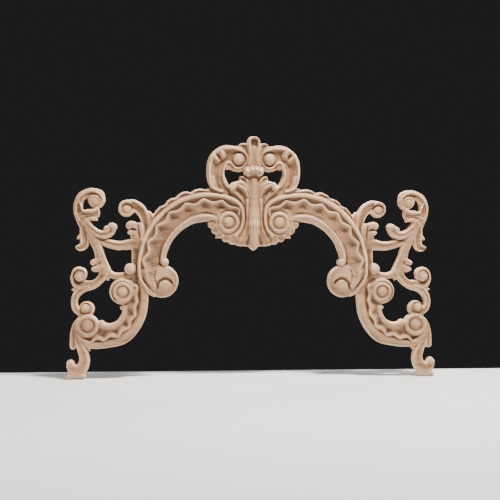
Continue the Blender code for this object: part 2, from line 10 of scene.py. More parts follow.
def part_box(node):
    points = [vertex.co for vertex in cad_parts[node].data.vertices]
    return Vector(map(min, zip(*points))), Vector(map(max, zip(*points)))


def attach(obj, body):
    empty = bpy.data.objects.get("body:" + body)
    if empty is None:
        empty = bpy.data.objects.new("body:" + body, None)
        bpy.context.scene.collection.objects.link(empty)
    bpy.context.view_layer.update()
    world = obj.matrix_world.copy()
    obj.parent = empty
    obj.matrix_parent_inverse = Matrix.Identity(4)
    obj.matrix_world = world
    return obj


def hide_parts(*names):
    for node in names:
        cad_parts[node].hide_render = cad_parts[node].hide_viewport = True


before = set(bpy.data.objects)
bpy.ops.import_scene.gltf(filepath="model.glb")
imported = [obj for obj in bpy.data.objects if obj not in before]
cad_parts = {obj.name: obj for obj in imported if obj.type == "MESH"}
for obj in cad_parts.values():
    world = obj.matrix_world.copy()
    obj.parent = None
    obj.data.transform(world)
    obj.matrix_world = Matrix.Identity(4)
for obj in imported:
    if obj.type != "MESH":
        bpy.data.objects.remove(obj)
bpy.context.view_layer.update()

# The drawing on the blank
# The crest is cut from one flat board of pale hardwood. Its right half is drawn on it at full size,
# in millimetres, from the centre line and the stem's volutes. The left half is its mirror image.
# Each stroke raises the wood or cuts into it.
BLANK_MM = 600.0
TOP_MM = 134.0
FOOT_MM = -264.0
MARGIN_MM = 4.0  # past the centre line and past the outer end
PITCH_MM = 0.6
STROKE_STEP = 1.5  # between samples along a stroke
OPEN_AIR = -8.0  # how far outside the outline a point counts where no stroke passes
MELT = 2.0  # height over which a stroke runs into its neighbour
EASE = 0.1  # an outline is sawn this far outside its stroke
END_FADE = 8  # a groove deepens over about an eighth of its length at each end
END_SHARE = 0.25  # and starts at this share of its depth


def flowing(route, step=STROKE_STEP):
    """The stations of a route joined by one smooth curve and sampled along it."""
    points = np.array(route, float)
    if len(points) == 1:
        return points
    points = np.vstack([2 * points[0] - points[1], points, 2 * points[-1] - points[-2]])
    samples = []
    for before, start, end, after in zip(points, points[1:], points[2:], points[3:]):
        count = max(2, math.ceil(math.dist(start[:2], end[:2]) / step))
        u = np.linspace(0, 1, count, endpoint=False)[:, None]
        bend = 2 * before - 5 * start + 4 * end - after
        twist = 3 * start - before - 3 * end + after
        samples.append(start + 0.5 * ((end - before) * u + bend * u**2 + twist * u**3))
    return np.vstack([*samples, points[-2:-1]])


def soft_top(across):
    """A ridge that runs out softly at both edges."""
    return 0.5 + 0.5 * np.cos(np.pi * across)


def round_top(across):
    """A rounded rod."""
    return np.clip(1 - across**2, 0, 1) ** 0.75


def flat_top(across):
    """A flat strip, rounded at its edges."""
    return np.sqrt(np.clip(1 - across**4, 0, 1))


class Relief:
    """Height of the carved face above the flat back, over points of the half-plan."""

    def __init__(self, x, z):
        self.x = x
        self.z = z
        self.height = np.zeros(x.shape)
        self.room = np.full(x.shape, OPEN_AIR)

    def beside(self, route, reach, step=STROKE_STEP):
        """Points near a route: distance from it, side, its half width there and how far along it they lie."""
        line = flowing(route, step)
        reach += line[:, 2].max()
        near = np.flatnonzero(
            (self.x > line[:, 0].min() - reach) & (self.x < line[:, 0].max() + reach)
            & (self.z > line[:, 1].min() - reach) & (self.z < line[:, 1].max() + reach))
        x = self.x[near]
        z = self.z[near]
        past_edge = np.hypot(x - line[0, 0], z - line[0, 1]) - line[0, 2]
        side = np.ones(len(near))
        width = np.full(len(near), line[0, 2])
        travel = np.zeros(len(near))
        done = 0.0
        for start, end in zip(line, line[1:]):
            dx, dz, widening = end - start
            length = math.hypot(dx, dz)
            u = np.clip(((x - start[0]) * dx + (z - start[1]) * dz) / length**2, 0, 1)
            here = start[2] + u * widening
            past = np.hypot(x - start[0] - u * dx, z - start[1] - u * dz) - here
            closer = past < past_edge
            past_edge = np.where(closer, past, past_edge)
            width = np.where(closer, here, width)
            left = dx * (z - start[1]) - dz * (x - start[0]) >= 0
            side = np.where(closer, np.where(left, 1.0, -1.0), side)
            travel = np.where(closer, done + u * length, travel)
            done += length
        return near, past_edge + width, side, width, travel / max(done, 1e-9)

    def add(self, near, height):
        """Keeps the higher of two heights, eased where they meet."""
        old = self.height[near]
        share = np.clip(0.5 + 0.5 * (height - old) / MELT, 0, 1)
        self.height[near] = old + (height - old) * share + MELT * share * (1 - share)

    def band(self, route, level, section=round_top, edge=0.7, slope=2.4, outline=True):
        """Wood along a route; level is its height, or two, and edge the share of it where its sides start."""
        near, away, side, width, travel = self.beside(route, reach=6)
        first, last = level if isinstance(level, tuple) else (level, level)
        across = side * np.clip(away / width, 0, 1)
        height = (first + (last - first) * travel) * (edge + (1 - edge) * section(across))
        self.add(near, height - slope * np.clip(away - width, 0, None))
        if outline:
            self.room[near] = np.maximum(self.room[near], width - away + EASE)

    def lip(self, route, level, edge=0.72):
        """A soft ridge that only rides on wood already there."""
        self.band(route, level, soft_top, edge, 1.5, outline=False)

    def groove(self, route, depth):
        """A round-bottomed groove that fades at its ends, or a pit where the route is a single station."""
        near, away, _, width, travel = self.beside(route, reach=1)
        ends = 1
        if len(route) > 1:
            ends = np.clip(np.minimum(travel, 1 - travel) * END_FADE + END_SHARE, 0, 1)
        self.height[near] -= depth * ends * (1 - np.clip(away / width, 0, 1) ** 2) ** 2


sheet_width = BLANK_MM / 2 + 2 * MARGIN_MM
sheet_height = TOP_MM - FOOT_MM
columns = math.ceil(sheet_width / PITCH_MM)
rows = math.ceil(sheet_height / PITCH_MM)
sheet = bmesh.new()
bmesh.ops.create_grid(sheet, x_segments=columns, y_segments=rows, size=0.5)
plan = np.array([vertex.co for vertex in sheet.verts])
x_mm = BLANK_MM / 4 + plan[:, 0] * sheet_width
z_mm = (TOP_MM + FOOT_MM) / 2 + plan[:, 1] * sheet_height
crest = Relief(np.abs(x_mm), z_mm)

# The arch
# Each arm is a wide C-scroll that springs from the stem: a board with a leafy fringe outside, a round
# ribbon, a ruffle that waves beneath it, and a smooth rim round the opening.
def moulded(*turns):
    """A cross-section that eases through its ridges and hollows, each (place across, share of height)."""
    places, shares = np.array(turns).T

    def section(across):
        i = np.clip(np.searchsorted(places, across, side="right") - 1, 0, len(places) - 2)
        u = np.clip((across - places[i]) / (places[i + 1] - places[i]), 0, 1)
        return shares[i] + (shares[i + 1] - shares[i]) * u * u * (3 - 2 * u)

    return section


RUFFLE_STEP = 0.5
ROLL_MM = 2.4  # width of the rolled edge
FAN_DEPTH = 1.6
FAN_STROKES = 0.3  # depth of the gouge's strokes in a fan
FIELD_STROKES = 0.22  # and across the rest of the field
OUTER_FALL = 1.4  # height lost with each millimetre outside the edge
INNER_FALL = 3.0  # and past the field
END_DROP = 8  # sinks both ends under the wood beside them


def ruffle(edge, level, waves, swing, sink, flare, phase, gouges):
    """A field right of its edge, which waves to and fro and is gouged into a fan under each wave."""
    near, away, side, field, travel = crest.beside(edge, 8, RUFFLE_STEP)
    turn = 2 * np.pi * (waves * travel + phase)
    wave = 1 - np.abs(np.sin(turn / 2)) ** 1.6
    first, last = swing
    inside = (first + (last - first) * travel) * (2 * wave - 0.9) - side * away
    inward = np.clip(inside / field, 0, 1)
    roll = np.exp(-((inside - ROLL_MM) / ROLL_MM) ** 2)
    fan = wave * np.exp(-((inward - 0.46) / 0.2) ** 2)
    height = level - sink * (1 - np.exp(-inward * 3)) + (0.6 + flare * wave) * roll - 0.6
    strokes = np.cos(turn * gouges)
    long_strokes = FIELD_STROKES * strokes * np.clip(6 * inward * (1 - inward), 0, 1)
    height -= fan * (FAN_DEPTH + FAN_STROKES * strokes) + long_strokes
    height -= OUTER_FALL * np.clip(-inside, 0, None) + INNER_FALL * np.clip(inside - field, 0, None)
    height -= END_DROP * (1 - np.clip(np.minimum(travel, 1 - travel) * 20, 0, 1))
    crest.add(near, height)


PETAL = moulded((-1, 0.5), (-0.4, 0.1), (0.1, 0.4), (0.6, 1), (1, 0.6))
FIELD = 9.0
crest.band([(36, 17, 19), (46, 17.5, 22), (70, 14.5, 22), (103, 8.5, 21), (130, -7.5, 20.5),
            (150, -30.5, 20), (164, -62, 20.5), (165, -92, 21), (158, -110, 18)], FIELD, flat_top, 0.95)
crest.lip([(30, -28, 7), (22, -18, 9), (19.5, -2, 10), (22, 13, 10), (33, 24, 9.5), (52, 30, 8.5),
           (80, 31, 8), (110, 25, 8), (138, 9, 8), (158, -13, 8), (171, -37, 8), (178, -64, 7.5),
           (180, -88, 6)], (13.2, 12.2), 0.9)
for root, crown, tip, spread in [((64, 37), (88, 37.5), (103, 33), 7),
                                 ((98, 33), (112, 32.5), (127, 24), 7),
                                 ((120, 25), (132, 22), (143, 13), 6.6),
                                 ((138, 14), (148, 10), (160, -1), 6.2)]:
    crest.band([(*root, 4), (*crown, spread), (*tip, 4)], 13.2, PETAL, 0.78)
ruffle([(23, -14, 12), (23.5, 3, 15), (31, 14.5, 18), (47, 21, 21), (72, 25.5, 24), (100, 20.5, 25),
        (127, 9, 25), (148, -9, 25), (164, -33, 25), (174, -60, 26), (177.5, -85, 26), (172, -104, 22)],
       level=15.5, waves=9, swing=(3.0, 3.0), sink=3.6, flare=1.0, phase=0.14, gouges=9)
crest.band([(29, -31, 5), (20.5, -20, 4.6), (17.5, -2, 4.2), (21, 15, 4.2), (32, 25.5, 4.2), (51, 32, 4.2),
            (80, 34.2, 4.4), (110, 28, 4.4), (138, 12.3, 4.4), (160, -10.5, 4.4), (174.3, -35, 4.2),
            (182.3, -63, 4), (184.6, -88, 3.6), (180, -105, 3.6), (168, -120.3, 4.4), (160, -125.5, 4.6)],
           (17, 15.5), round_top, 0.68)
crest.band([(54, 3, 6), (62, -1, 6.5)], 11, flat_top, 0.9)
crest.band([(61, -5, 2.6), (70, -2, 5.2), (92, -3.2, 6), (116, -15.4, 6), (135, -35, 6), (145, -58, 5.6),
            (146.5, -72, 5)], 15.3, moulded((-1, 0.1), (-0.45, 0.75), (0.4, 1), (1, 0.6)), 0.72)
crest.groove([(60.5, -6, 2.4), (63.5, 0, 2.6), (70, 3.4, 2.8), (80, 4.6, 2.8), (104, -2, 2.8),
              (128, -20, 2.8), (145, -43.5, 2.8), (151.3, -63, 2.6), (151.5, -82, 2)], 2.2)
crest.band([(143.8, -74, 6.6)], 16.5, round_top, 0.72)

# The ball scroll
# The arm ends in a fat closed scroll, left high in the board and rounded over with the gouge. It has a
# small eye of its own, and a tongue of the arm turns over it.
crest.band([(147.8, -104.8, 26.4)], 18.5, round_top, 0.62)
crest.groove([(130.5, -112, 2.2), (135, -103.8, 4), (144, -100.4, 4.4), (153, -105.6, 4.2),
              (155.4, -115, 3.4), (160.5, -122, 3), (167, -116, 2.4), (177, -103.5, 2)], 3.8)
crest.band([(144.3, -112.8, 9.8)], 18, round_top, 0.8)
crest.band([(172, -84, 9), (171, -98, 11), (165, -112, 8), (160, -119, 5)], (10.5, 15), flat_top, 0.9)
crest.lip([(173, -90, 8), (169, -102, 9), (161, -117, 5)], 15.8, 0.84)
crest.groove([(158, -86, 2), (160.5, -96, 3), (159, -104, 3), (156, -112, 2.8)], 2)
for stroke in range(4):
    crest.groove([(163 - stroke, -93 - 4 * stroke, 1.6), (174 - 2 * stroke, -90 - 4 * stroke, 1.8)], 0.8)
crest.groove([(180, -97, 2), (175, -106, 2.6), (167, -115.5, 2.2)], 1.8)

# The stem
# A fluted stem stands on the centre line and opens into a fan of lobes at its foot. It is the thickest
# wood of the crest and joins its two halves.
STEM = 21.0
CROWN = STEM - 0.45
crest.band([(0, 66, 10), (0, 40, 17), (4, 6, 22), (8, -22, 24), (14, -29, 17.5)], 12, flat_top, 0.97)
crest.band([(0, 0, 10), (0, -26, 12), (0, -41, 10.5), (0, -50.5, 4.6)], (13, 17), round_top, 0.76)
crest.band([(10, -8, 5), (13, -22, 8), (17, -36, 10.8), (24, -37.2, 10)], (13.5, 14.5), round_top, 0.82)
crest.band([(28, -28, 6), (33.8, -37.5, 8)], 14, round_top, 0.82)
crest.band([(0, 58, 5), (0, 36, 8.6), (0, 15, 9.4), (0, -12, 9.4)], (14.5, CROWN), round_top, 0.76, 1.5,
           outline=False)
crest.band([(0, -12, 9.4), (0, -30, 9.4), (0, -46, 7)], (CROWN, 17), round_top, 0.76, 1.5, outline=False)
crest.lip([(10.8, 26, 2.2), (11.4, 12, 3.4), (11.8, -8, 3.8), (15, -24, 5), (23, -38, 6)], (17.2, 14.6),
          0.86)
crest.groove([(15.4, 22, 1.6), (14, 0, 1.8), (15, -12, 2.2), (19.5, -24, 2.8), (27, -33, 2.4)], 1.2)
crest.groove([(7, -30, 2.6), (9.5, -39, 3), (12.5, -47, 2.6)], 1.5)
crest.groove([(19, -30, 2), (25, -38, 2.6), (29.5, -44, 2)], 1)
for flute in [2.4, 6.6]:
    crest.groove([(flute, 54 - flute, 1.5), (0.95 * flute, 34, 1.8), (0.85 * flute, 0, 1.7),
                  (flute, -36, 1.6)], 0.7)

# The centre volutes
# Beside the stem each arm rolls up in a volute on a collar of short leaf tips. Its lip is left standing
# round a groove, and its eye is rounded to a button.
SPIRAL_STEP = 24


def spiral(centre, radii, degrees, half_widths):
    """Stations round a centre, with the radius and the half width running evenly to their last values."""
    count = round(abs(degrees[1] - degrees[0]) / SPIRAL_STEP) + 2
    angle = np.radians(np.linspace(*degrees, count))
    radius = np.linspace(*radii, count)
    x = centre[0] + radius * np.cos(angle)
    z = centre[1] + radius * np.sin(angle)
    return list(zip(x, z, np.linspace(*half_widths, count)))


def volute(eye, radius, level, turn):
    """A volute in shares of its radius: a widening lip winds out from a domed eye, round a groove."""
    crest.band([(*eye, 1.7 * radius)], 0.84 * level, flat_top, 0.9)
    lip = spiral(eye, (1.38 * radius, 1.5 * radius), turn, (0.36 * radius, 0.48 * radius))
    crest.band(lip, 0.92 * level, round_top, 0.86)
    bend = (turn[0] + 70, turn[0] + 340)
    gap = spiral(eye, (1.04 * radius, 1.12 * radius), bend, (0.2 * radius, 0.3 * radius))
    crest.groove(gap, 0.06 * level)
    crest.band([(*eye, 0.98 * radius)], level, round_top, 0.8, 3)


CENTRE_EYE = (41.3, -9.7)
for root, tip, spread in [((52, -9), (67.5, -13), 7.2), ((50, -14), (61, -21.5), 8),
                          ((47, -19), (54.5, -28.6), 7.4), ((42, -24), (44.3, -34.2), 7.8)]:
    crest.band([(*root, spread), (*tip, spread - 0.6)], 13, round_top, 0.78)
crest.band([(55, -29, 4.4), (60, -34.2, 1.4)], 11)
crest.band([(*CENTRE_EYE, 23.5)], 12.5, flat_top, 0.95)
crest.lip(spiral(CENTRE_EYE, (21.4, 22), (195, 345), (4.6, 5.6)), 14.5, 0.82)
crest.lip(spiral(CENTRE_EYE, (20, 18.8), (-55, 35), (4.2, 3.4)), 15, 0.82)
crest.groove(spiral(CENTRE_EYE, (17.6, 17), (40, 320), (2.8, 2.4)), 1.8)
volute(CENTRE_EYE, 9.6, 18, (-20, 340))

# The crest scrolls
# An S-shaped scroll rises from each side of the stem and rolls in beside the palmette. A raised lip
# follows both of its edges, and two short ribs cross the hollow between them.
CREST_EYE = (25, 92)
crest.band([(22, 24, 9), (46, 41.5, 11), (58, 55, 14.5), (61.8, 70, 14.5), (58.5, 88, 15.8),
            (46, 97.5, 17.5), (33, 95, 19.5), (25.5, 93.3, 20.9)], 11.5, flat_top, 0.9)
crest.band([(24, 34, 7), (33, 42, 6)], 11, flat_top, 0.95)
crest.band([(44, 34, 7), (66, 40, 6.4), (74, 42, 3.5)], (12, 10), flat_top, 0.9)
crest.band([(42.5, 82.3, 6.6)], 14, round_top, 0.8)
crest.groove([(42, 82.5, 3.4)], 1.5)
crest.groove([(59, 52, 6), (61, 75, 8), (52, 90, 8), (43, 97, 7)], 1.6)
crest.lip([(52, 40, 4), (66, 46, 4.4), (71.5, 60, 4.6), (71.5, 80, 5), (66.6, 95.4, 5.2),
           (55.6, 106.4, 5.2), (42, 109.8, 5.2), (27, 108.4, 5.4), (15, 101.5, 5.6), (12, 90, 5.6),
           (18.8, 79.5, 5), (29, 78.5, 4.4), (36.5, 84.7, 3.4), (42, 87, 3), (47.2, 81, 3.4),
           (50.4, 66, 3.6), (48, 55.5, 3.6), (42.5, 47, 3.6), (32, 39, 3.6), (22, 29, 3), (17, 20, 2.4)],
          (16.5, 14), 0.7)
crest.groove(spiral(CREST_EYE, (12, 12), (60, 330), (3, 2.4)), 1.5)
crest.band([(*CREST_EYE, 9.5)], 16.8, round_top, 0.78, 3)
for root, tip, width in [((53, 103.5), (51, 97.5), 5.4), ((65.5, 96.5), (59.5, 91), 4.4)]:
    crest.lip([(*root, width), (*tip, width)], (16.2, 15), 0.86)
crest.lip([(71.5, 64, 2.4), (67.5, 60, 4.4), (65, 50, 4.6), (57, 38, 3)], (15.5, 14), 0.86)
crest.groove([(62.5, 102.5, 2), (58.5, 98, 2.6), (55, 91, 2)], 1.8)
crest.groove([(70.5, 91, 2), (70, 76, 2), (69.5, 69, 1.4)], 1.2)
crest.groove([(64, 64, 2), (60.5, 54, 2.4), (53, 42, 2)], 1)

# The leaves under the crest
# Acanthus leaves curl out of the stem between the crest scrolls, and end in a raised curl. Above them a
# collar of beads goes round its neck.
crest.band([(0, 68, 9), (0, 54, 8.5), (0, 34, 10)], (13, 15.5), round_top, 0.8)
crest.band([(13.5, 46, 8.5), (16.5, 57, 7.4), (21.7, 64, 1.4)], 13.5, PETAL, 0.8)
crest.band([(12, 14, 5), (13, 34, 9.5), (21.5, 47.2, 10), (30, 48.7, 7.8)], (12.5, 17), PETAL, 0.72)
crest.lip([(8.5, 14, 2.4), (10, 30, 3.2), (16, 44, 4), (26, 50.5, 3.4)], (13, 18), 0.82)
crest.band([(32, 50, 6.2), (34.5, 46.5, 6.2)], 19, round_top, 0.72)
crest.lip([(13, 8, 2.6), (16, 20, 4), (25, 33, 4.6), (36, 42, 4)], (12, 16), 0.8)
crest.band([(0, 73.2, 7.6), (9, 72.6, 8)], 17, round_top, 0.8)
for bead in [(3.7, 75), (11, 73)]:
    crest.lip([(*bead, 5.6)], 19.5, 0.84)

# The palmette
# A small fluted shell tops the crest, with one small leaf on each side. It stands on the stem's neck,
# above the beads.
crest.band([(6, 98, 7), (12, 109.5, 8), (17, 113.5, 5.6), (21.5, 115.5, 2.4)], 13.5, PETAL, 0.8)
crest.band([(0, 82, 12.5), (0, 97, 11), (0, 108, 7.5)], (15, 15.5), round_top, 0.78)
crest.groove([(0, 121.5, 5.5)], 3)
crest.lip([(7, 84, 4), (5.5, 98, 4), (8, 112, 3.4)], (15.8, 16.6), 0.9)
crest.band([(0, 108, 8), (0, 119.6, 11)], (15, 18.5), moulded((-1, 0.5), (-0.78, 1), (-0.3, 0.1), (0, 0.25),
                                                              (0.3, 0.1), (0.78, 1), (1, 0.5)), 0.7)

# The shoulder scroll
# A small scroll stands in the angle between the arch and the branch, over two leaf tips. The blank is
# pierced round them, so it holds on by its stalk and by the leaf below it.
crest.band([(164, -14, 5.5), (165.5, -2, 5), (168.5, 4.5, 3.6)], 12)
crest.band([(168, -22, 5), (170, -4, 5), (173.5, 5, 4.4)], 12.5)
crest.band([(173.5, -30, 4.5), (173.5, -16, 6), (176, -2, 7.8), (182.5, 10, 8.8), (194, 17, 9.6),
            (204.6, 12.4, 13.6)], 12.5, moulded((-1, 0.6), (-0.5, 0.2), (0.1, 0.45), (0.66, 1), (1, 0.4)),
           0.72)
crest.lip(spiral((204.6, 12.4), (10.6, 10.6), (125, -150), (4.2, 3.2)), 13.8)
crest.groove(spiral((204.8, 10), (8.8, 8.4), (170, 20), (2.4, 1.6)), 1.6)
crest.band([(204.3, 9.4, 7.6)], 14.6, round_top, 0.8)
crest.band([(183, -50, 8), (188, -36, 10), (189.5, -21, 9), (196, -15, 7.4), (199, -15, 7)], (11, 15),
           round_top, 0.8)
crest.groove([(188.5, -23.5, 1.8), (194, -21, 2.4), (204, -22, 2)], 4)
crest.band([(188, -33, 6), (192.5, -28, 5.4), (199.5, -26, 4)], 13.5)
crest.band([(181, -38, 4), (181, -22, 5), (183, -14.5, 4.8)], 13.5, round_top, 0.76)
crest.groove([(187.6, -11, 1.8), (186, -20, 2.2), (184.6, -36, 1.8)], 2)

# The top scroll
# An open scroll stands at the upper corner, pierced inside its turn. A leaf cuff of three lobes wraps it
# where it leaves the branch.
crest.band([(272, -16, 8), (277, -5, 8), (281, 8, 8), (281, 20, 7.4), (275.8, 30.8, 7.2), (264, 37, 7.2),
            (253, 30, 13.9)], 12, flat_top, 0.78)
crest.band([(252.3, 25.5, 13.8)], 12, flat_top, 0.78)
crest.lip([(279, -8, 3), (285, 6, 3.2), (283.2, 21, 3.4), (275.5, 33, 3.6), (262, 39.6, 3.6),
           (249, 36.3, 3.6), (243.3, 28, 3.4), (244.8, 18, 3.2), (252, 11, 3)], 14.6)
crest.groove([(268, 34, 2), (258, 35.4, 2.6), (249, 31.5, 2.4), (246, 23, 2.2), (251, 14.5, 2)], 1.5)
crest.band([(254.4, 23.4, 9.8)], 15, round_top, 0.84)
crest.groove(spiral((255, 23.4), (5.4, 5.4), (200, 20), (1.8, 1.6)), 1.1)
crest.lip([(280, 22, 2), (275.5, 14.5, 4), (273, 7, 3.4)], 14.5)
crest.band([(278, -3, 8), (268, 1, 9.6), (256.5, 3, 9), (252, 10.5, 4.5)], 12, flat_top, 0.85)
for root, crown, fall, tip, level in [((249.5, 11.5), (258, 7.4), (269, 7.6), (277, 16), 16),
                                      ((255, 1.5), (263, 1.5), (274, -1), (282, -6), 13.8),
                                      ((251.5, -5.8), (259, -4), (268, -7), (274, -14), 14.4)]:
    crest.lip([(*root, 3), (*crown, 4.8), (*fall, 4.4), (*tip, 2.6)], level, 0.8)
crest.band([(262, -3, 4.5), (252, -6.4, 1.8)], 12.5)

# The branches
# Plain branches tie the top scroll to the arch and to the lower scroll, with buds along them. They are
# narrow strips of the same board, left between its pierced openings.
SOFT_LIPS = moulded((-1, 0.4), (-0.55, 1), (0, 0.72), (0.55, 1), (1, 0.4))
crest.band([(186, -46, 9), (197, -45, 9), (210, -47, 7.4), (222, -46.8, 7.2), (241, -41, 6.8),
            (259, -28.5, 7), (273, -8, 7.5)], (11, 13), SOFT_LIPS, 0.72)
crest.groove([(230, -36.6, 1.6), (243, -37, 2.4), (257, -29, 2)], 3.5)
crest.band([(228, -18, 7.2), (230.5, -25.5, 7), (239, -30, 7), (250, -29, 6.8), (261, -21, 6.6),
            (270, -10, 6.8)], (14.5, 13), SOFT_LIPS, 0.72)
crest.band([(226.3, -17.8, 7)], 16, round_top, 0.74)
crest.band([(235.8, -21, 5.4), (237, -26, 4)], 14.5)
crest.band([(266, -24, 6.6), (255.5, -41, 7.6), (249.3, -55, 7.6), (245, -71, 8.6), (239, -88, 10)], 13,
           round_top, 0.74)
crest.band([(272, -14, 7), (272, -32, 7), (271.5, -45, 7), (277, -50.3, 6.2), (282, -50.4, 3.8)],
           (12.5, 13), PETAL, 0.76)
crest.band([(275, -30, 4.5), (281.5, -35.5, 2.2)], 11.5)
crest.band([(246, -69, 5), (257.2, -74.6, 5.2)], (12.5, 14), round_top, 0.76)
crest.groove([(246, -73, 1.6), (249, -78.5, 2.2), (256, -80.5, 1.6)], 1.6)
crest.band([(244, -80, 5), (251, -84.5, 5.6), (256.6, -85.2, 4.2)], 13.5, round_top, 0.76)
crest.band([(240, -84, 7), (229, -94, 5.6), (214, -96.5, 5.4), (194, -92, 7)], (12, 10.5), round_top, 0.74)
crest.band([(235, -94, 4.6), (234.2, -101.3, 2.6)], 11)
crest.band([(187, -46, 9.4), (189, -66, 7.6), (188.6, -96, 8.4)], 10, moulded((-1, 1), (-0.2, 0.3),
                                                                              (1, 0.6)), 0.8)
crest.band([(198.4, -85.2, 9.6)], 16.5, round_top, 0.66)

# The outer branch
# An S-shaped branch runs down the outer side. It rolls in to a small volute with a rounded eye at each
# bend, and has a bud between them.
crest.band([(239, -88, 9), (243.5, -98, 7), (254.5, -108.5, 6.9), (267, -111.8, 8.6), (280, -110, 8.6),
            (286.5, -101, 7.4), (283, -90, 7.6), (275.5, -91, 8.2), (275.5, -96, 8.2)], 12.5,
           moulded((-1, 0.5), (-0.6, 1), (0, 0.5), (0.5, 0.3), (1, 0.3)), 0.74)
crest.groove(spiral((279.3, -97), (9.2, 9), (-160, 60), (2.2, 1.8)), 2.6)
crest.band([(279.3, -97, 8)], 15.5, round_top, 0.76)
crest.groove(spiral((279.5, -97.2), (4.8, 4.8), (230, 30), (1.6, 1.4)), 1)
crest.band([(282, -116, 4.6), (290, -118.2, 1.9)], 11)
crest.band([(266, -115, 4.5), (277, -118.8, 6.2), (285, -128, 6), (287.2, -139, 5.6), (284.5, -149, 6),
            (276, -155.5, 6.4)], 12.5, SOFT_LIPS, 0.74)
crest.band([(267.8, -149, 12.6)], 12.5, flat_top, 0.78)
crest.band([(266, -157, 8), (276, -158, 6)], 11)
crest.groove(spiral((269.5, -148.3), (8.6, 8.6), (150, -150), (2.2, 1.8)), 2.2)
crest.band([(270, -148.3, 7.2)], 15, round_top, 0.76)

# The lower scroll
# A large C-scroll springs from the side of the arm, next to the ball scroll. It has a smooth rim
# outside, a ruffle within it and a volute at each end.
crest.band([(189, -112, 18), (189.5, -138, 19.6), (194.5, -163, 19), (212, -186, 19), (236, -192.5, 19),
            (257, -191, 22), (268, -184, 24.5)], FIELD, flat_top, 0.93)
crest.band([(210.3, -120.8, 21.6)], 11, flat_top, 0.9)
ruffle([(268, -203, 14), (240, -197, 20), (222, -193.5, 20), (206, -183.5, 20), (195.5, -169, 20),
        (189.5, -151, 20), (188, -131, 20), (187.8, -116, 16), (194, -105, 14)], level=14.6, waves=6.8,
       swing=(3.0, 1.0), sink=2.8, flare=0.9, phase=0.71, gouges=1)
crest.band([(183, -104, 4), (177, -120, 6.6), (177.3, -141, 6.9), (182.9, -164, 6.9), (196.5, -184.3, 7),
            (218, -199.6, 7), (243, -205.6, 6.4), (260, -206.3, 6), (276, -197.5, 6), (283.3, -182, 5.4),
            (281, -169, 4.4)], (13.5, 14.5), round_top, 0.78)
crest.band([(206.5, -148, 4.4), (208.3, -160, 5), (216, -171.8, 5.8), (229, -178.2, 6.2), (241, -177, 6.4)],
           14, round_top, 0.74)
crest.band([(244.6, -174, 6.8)], 15, round_top, 0.78)
UPPER_EYE = (211, -122)
crest.lip(spiral(UPPER_EYE, (18.4, 18), (-75, 195), (4.4, 4.2)), 14, 0.78)
crest.groove(spiral(UPPER_EYE, (15.6, 15.6), (-60, 200), (2.4, 2)), 2.2)
volute(UPPER_EYE, 9, 17, (-60, 300))
crest.band([(206, -146, 4.8), (210.8, -147.3, 3.9)], 13)
volute((266.3, -175), 10, 17, (30, 390))

# The foot
# A tapering leaf runs down beside the lower scroll to a hooked foot, which ends each arm on a small flat
# plinth.
crest.band([(275, -162, 4), (282.6, -172, 5.6), (287.6, -186, 6), (288.4, -200, 6.2), (289.6, -209, 5)],
           (12, 12.5), moulded((-1, 0.3), (-0.3, 0.4), (0.5, 1), (1, 0.5)), 0.78)
crest.band([(286, -185, 3), (283, -200, 4.5), (275, -215, 7.6), (271, -230, 8.6), (276, -244, 9.8),
            (286, -247, 9.8), (292.3, -241.5, 7.5)], 13, SOFT_LIPS, 0.74)
crest.band([(268, -211, 4.4), (264, -214.8, 2.2)], 11)
crest.band([(292.9, -236.5, 7)], 15, round_top, 0.74)
crest.band([(273.2, -255.8, 4.3), (280, -255.3, 3.8), (290, -255.3, 3.8), (295.7, -256.2, 4.2)], 12.5,
           round_top, 0.8)

# The carved piece
# The drawing is cut into the face of the board and its sides are sawn down to the outline, square
# but for a slight draught, with the arris rounded over. The back stays as the planed, flat board.
MM = 0.001
FACES = 184000
WALL_SLOPE = 9.0  # the sides rise this much with each millimetre inwards
ARRIS = 3.0  # height over which the arris is rounded
UNDER_BACK = -4.0  # how far the waste reaches behind the back
NEAR = 0.00001
WELD = 1e-8
ALL_BUT = 0.999
SHARP_DEGREES = 60
wall = WALL_SLOPE * crest.room
rounding = np.clip(0.5 + 0.5 * (crest.height - wall) / ARRIS, 0, 1)
face_mm = crest.height + (wall - crest.height) * rounding - ARRIS * rounding * (1 - rounding)
for vertex, across, up, height in zip(sheet.verts, x_mm, z_mm, face_mm):
    vertex.co = (across * MM, -max(height, UNDER_BACK) * MM, up * MM)
behind = -ALL_BUT * UNDER_BACK * MM
air = [face for face in sheet.faces if all(corner.co.y > behind for corner in face.verts)]
bmesh.ops.delete(sheet, geom=air, context="FACES")
bmesh.ops.recalc_face_normals(sheet, faces=sheet.faces)
bmesh.ops.triangulate(sheet, faces=sheet.faces)


def saw(axis, normal):
    """Cuts the sheet flat through the origin and drops what lies on the normal's side."""
    for vertex in sheet.verts:
        if abs(vertex.co[axis]) < NEAR:
            vertex.co[axis] = 0.0
    everything = sheet.verts[:] + sheet.edges[:] + sheet.faces[:]
    bmesh.ops.bisect_plane(sheet, geom=everything, dist=WELD, plane_co=(0, 0, 0), plane_no=normal,
                           clear_outer=True)


# The waste past the centre line and behind the back comes off, and the half is mirrored and closed.
saw(0, (-1, 0, 0))
saw(1, (0, 1, 0))
half = sheet.verts[:] + sheet.edges[:] + sheet.faces[:]
bmesh.ops.mirror(sheet, geom=half, axis="X", merge_dist=WELD)
sawn_rim = [edge for edge in sheet.edges if edge.is_boundary]
bmesh.ops.triangle_fill(sheet, use_beauty=True, edges=sawn_rim, normal=(0, 1, 0))
bmesh.ops.recalc_face_normals(sheet, faces=sheet.faces)

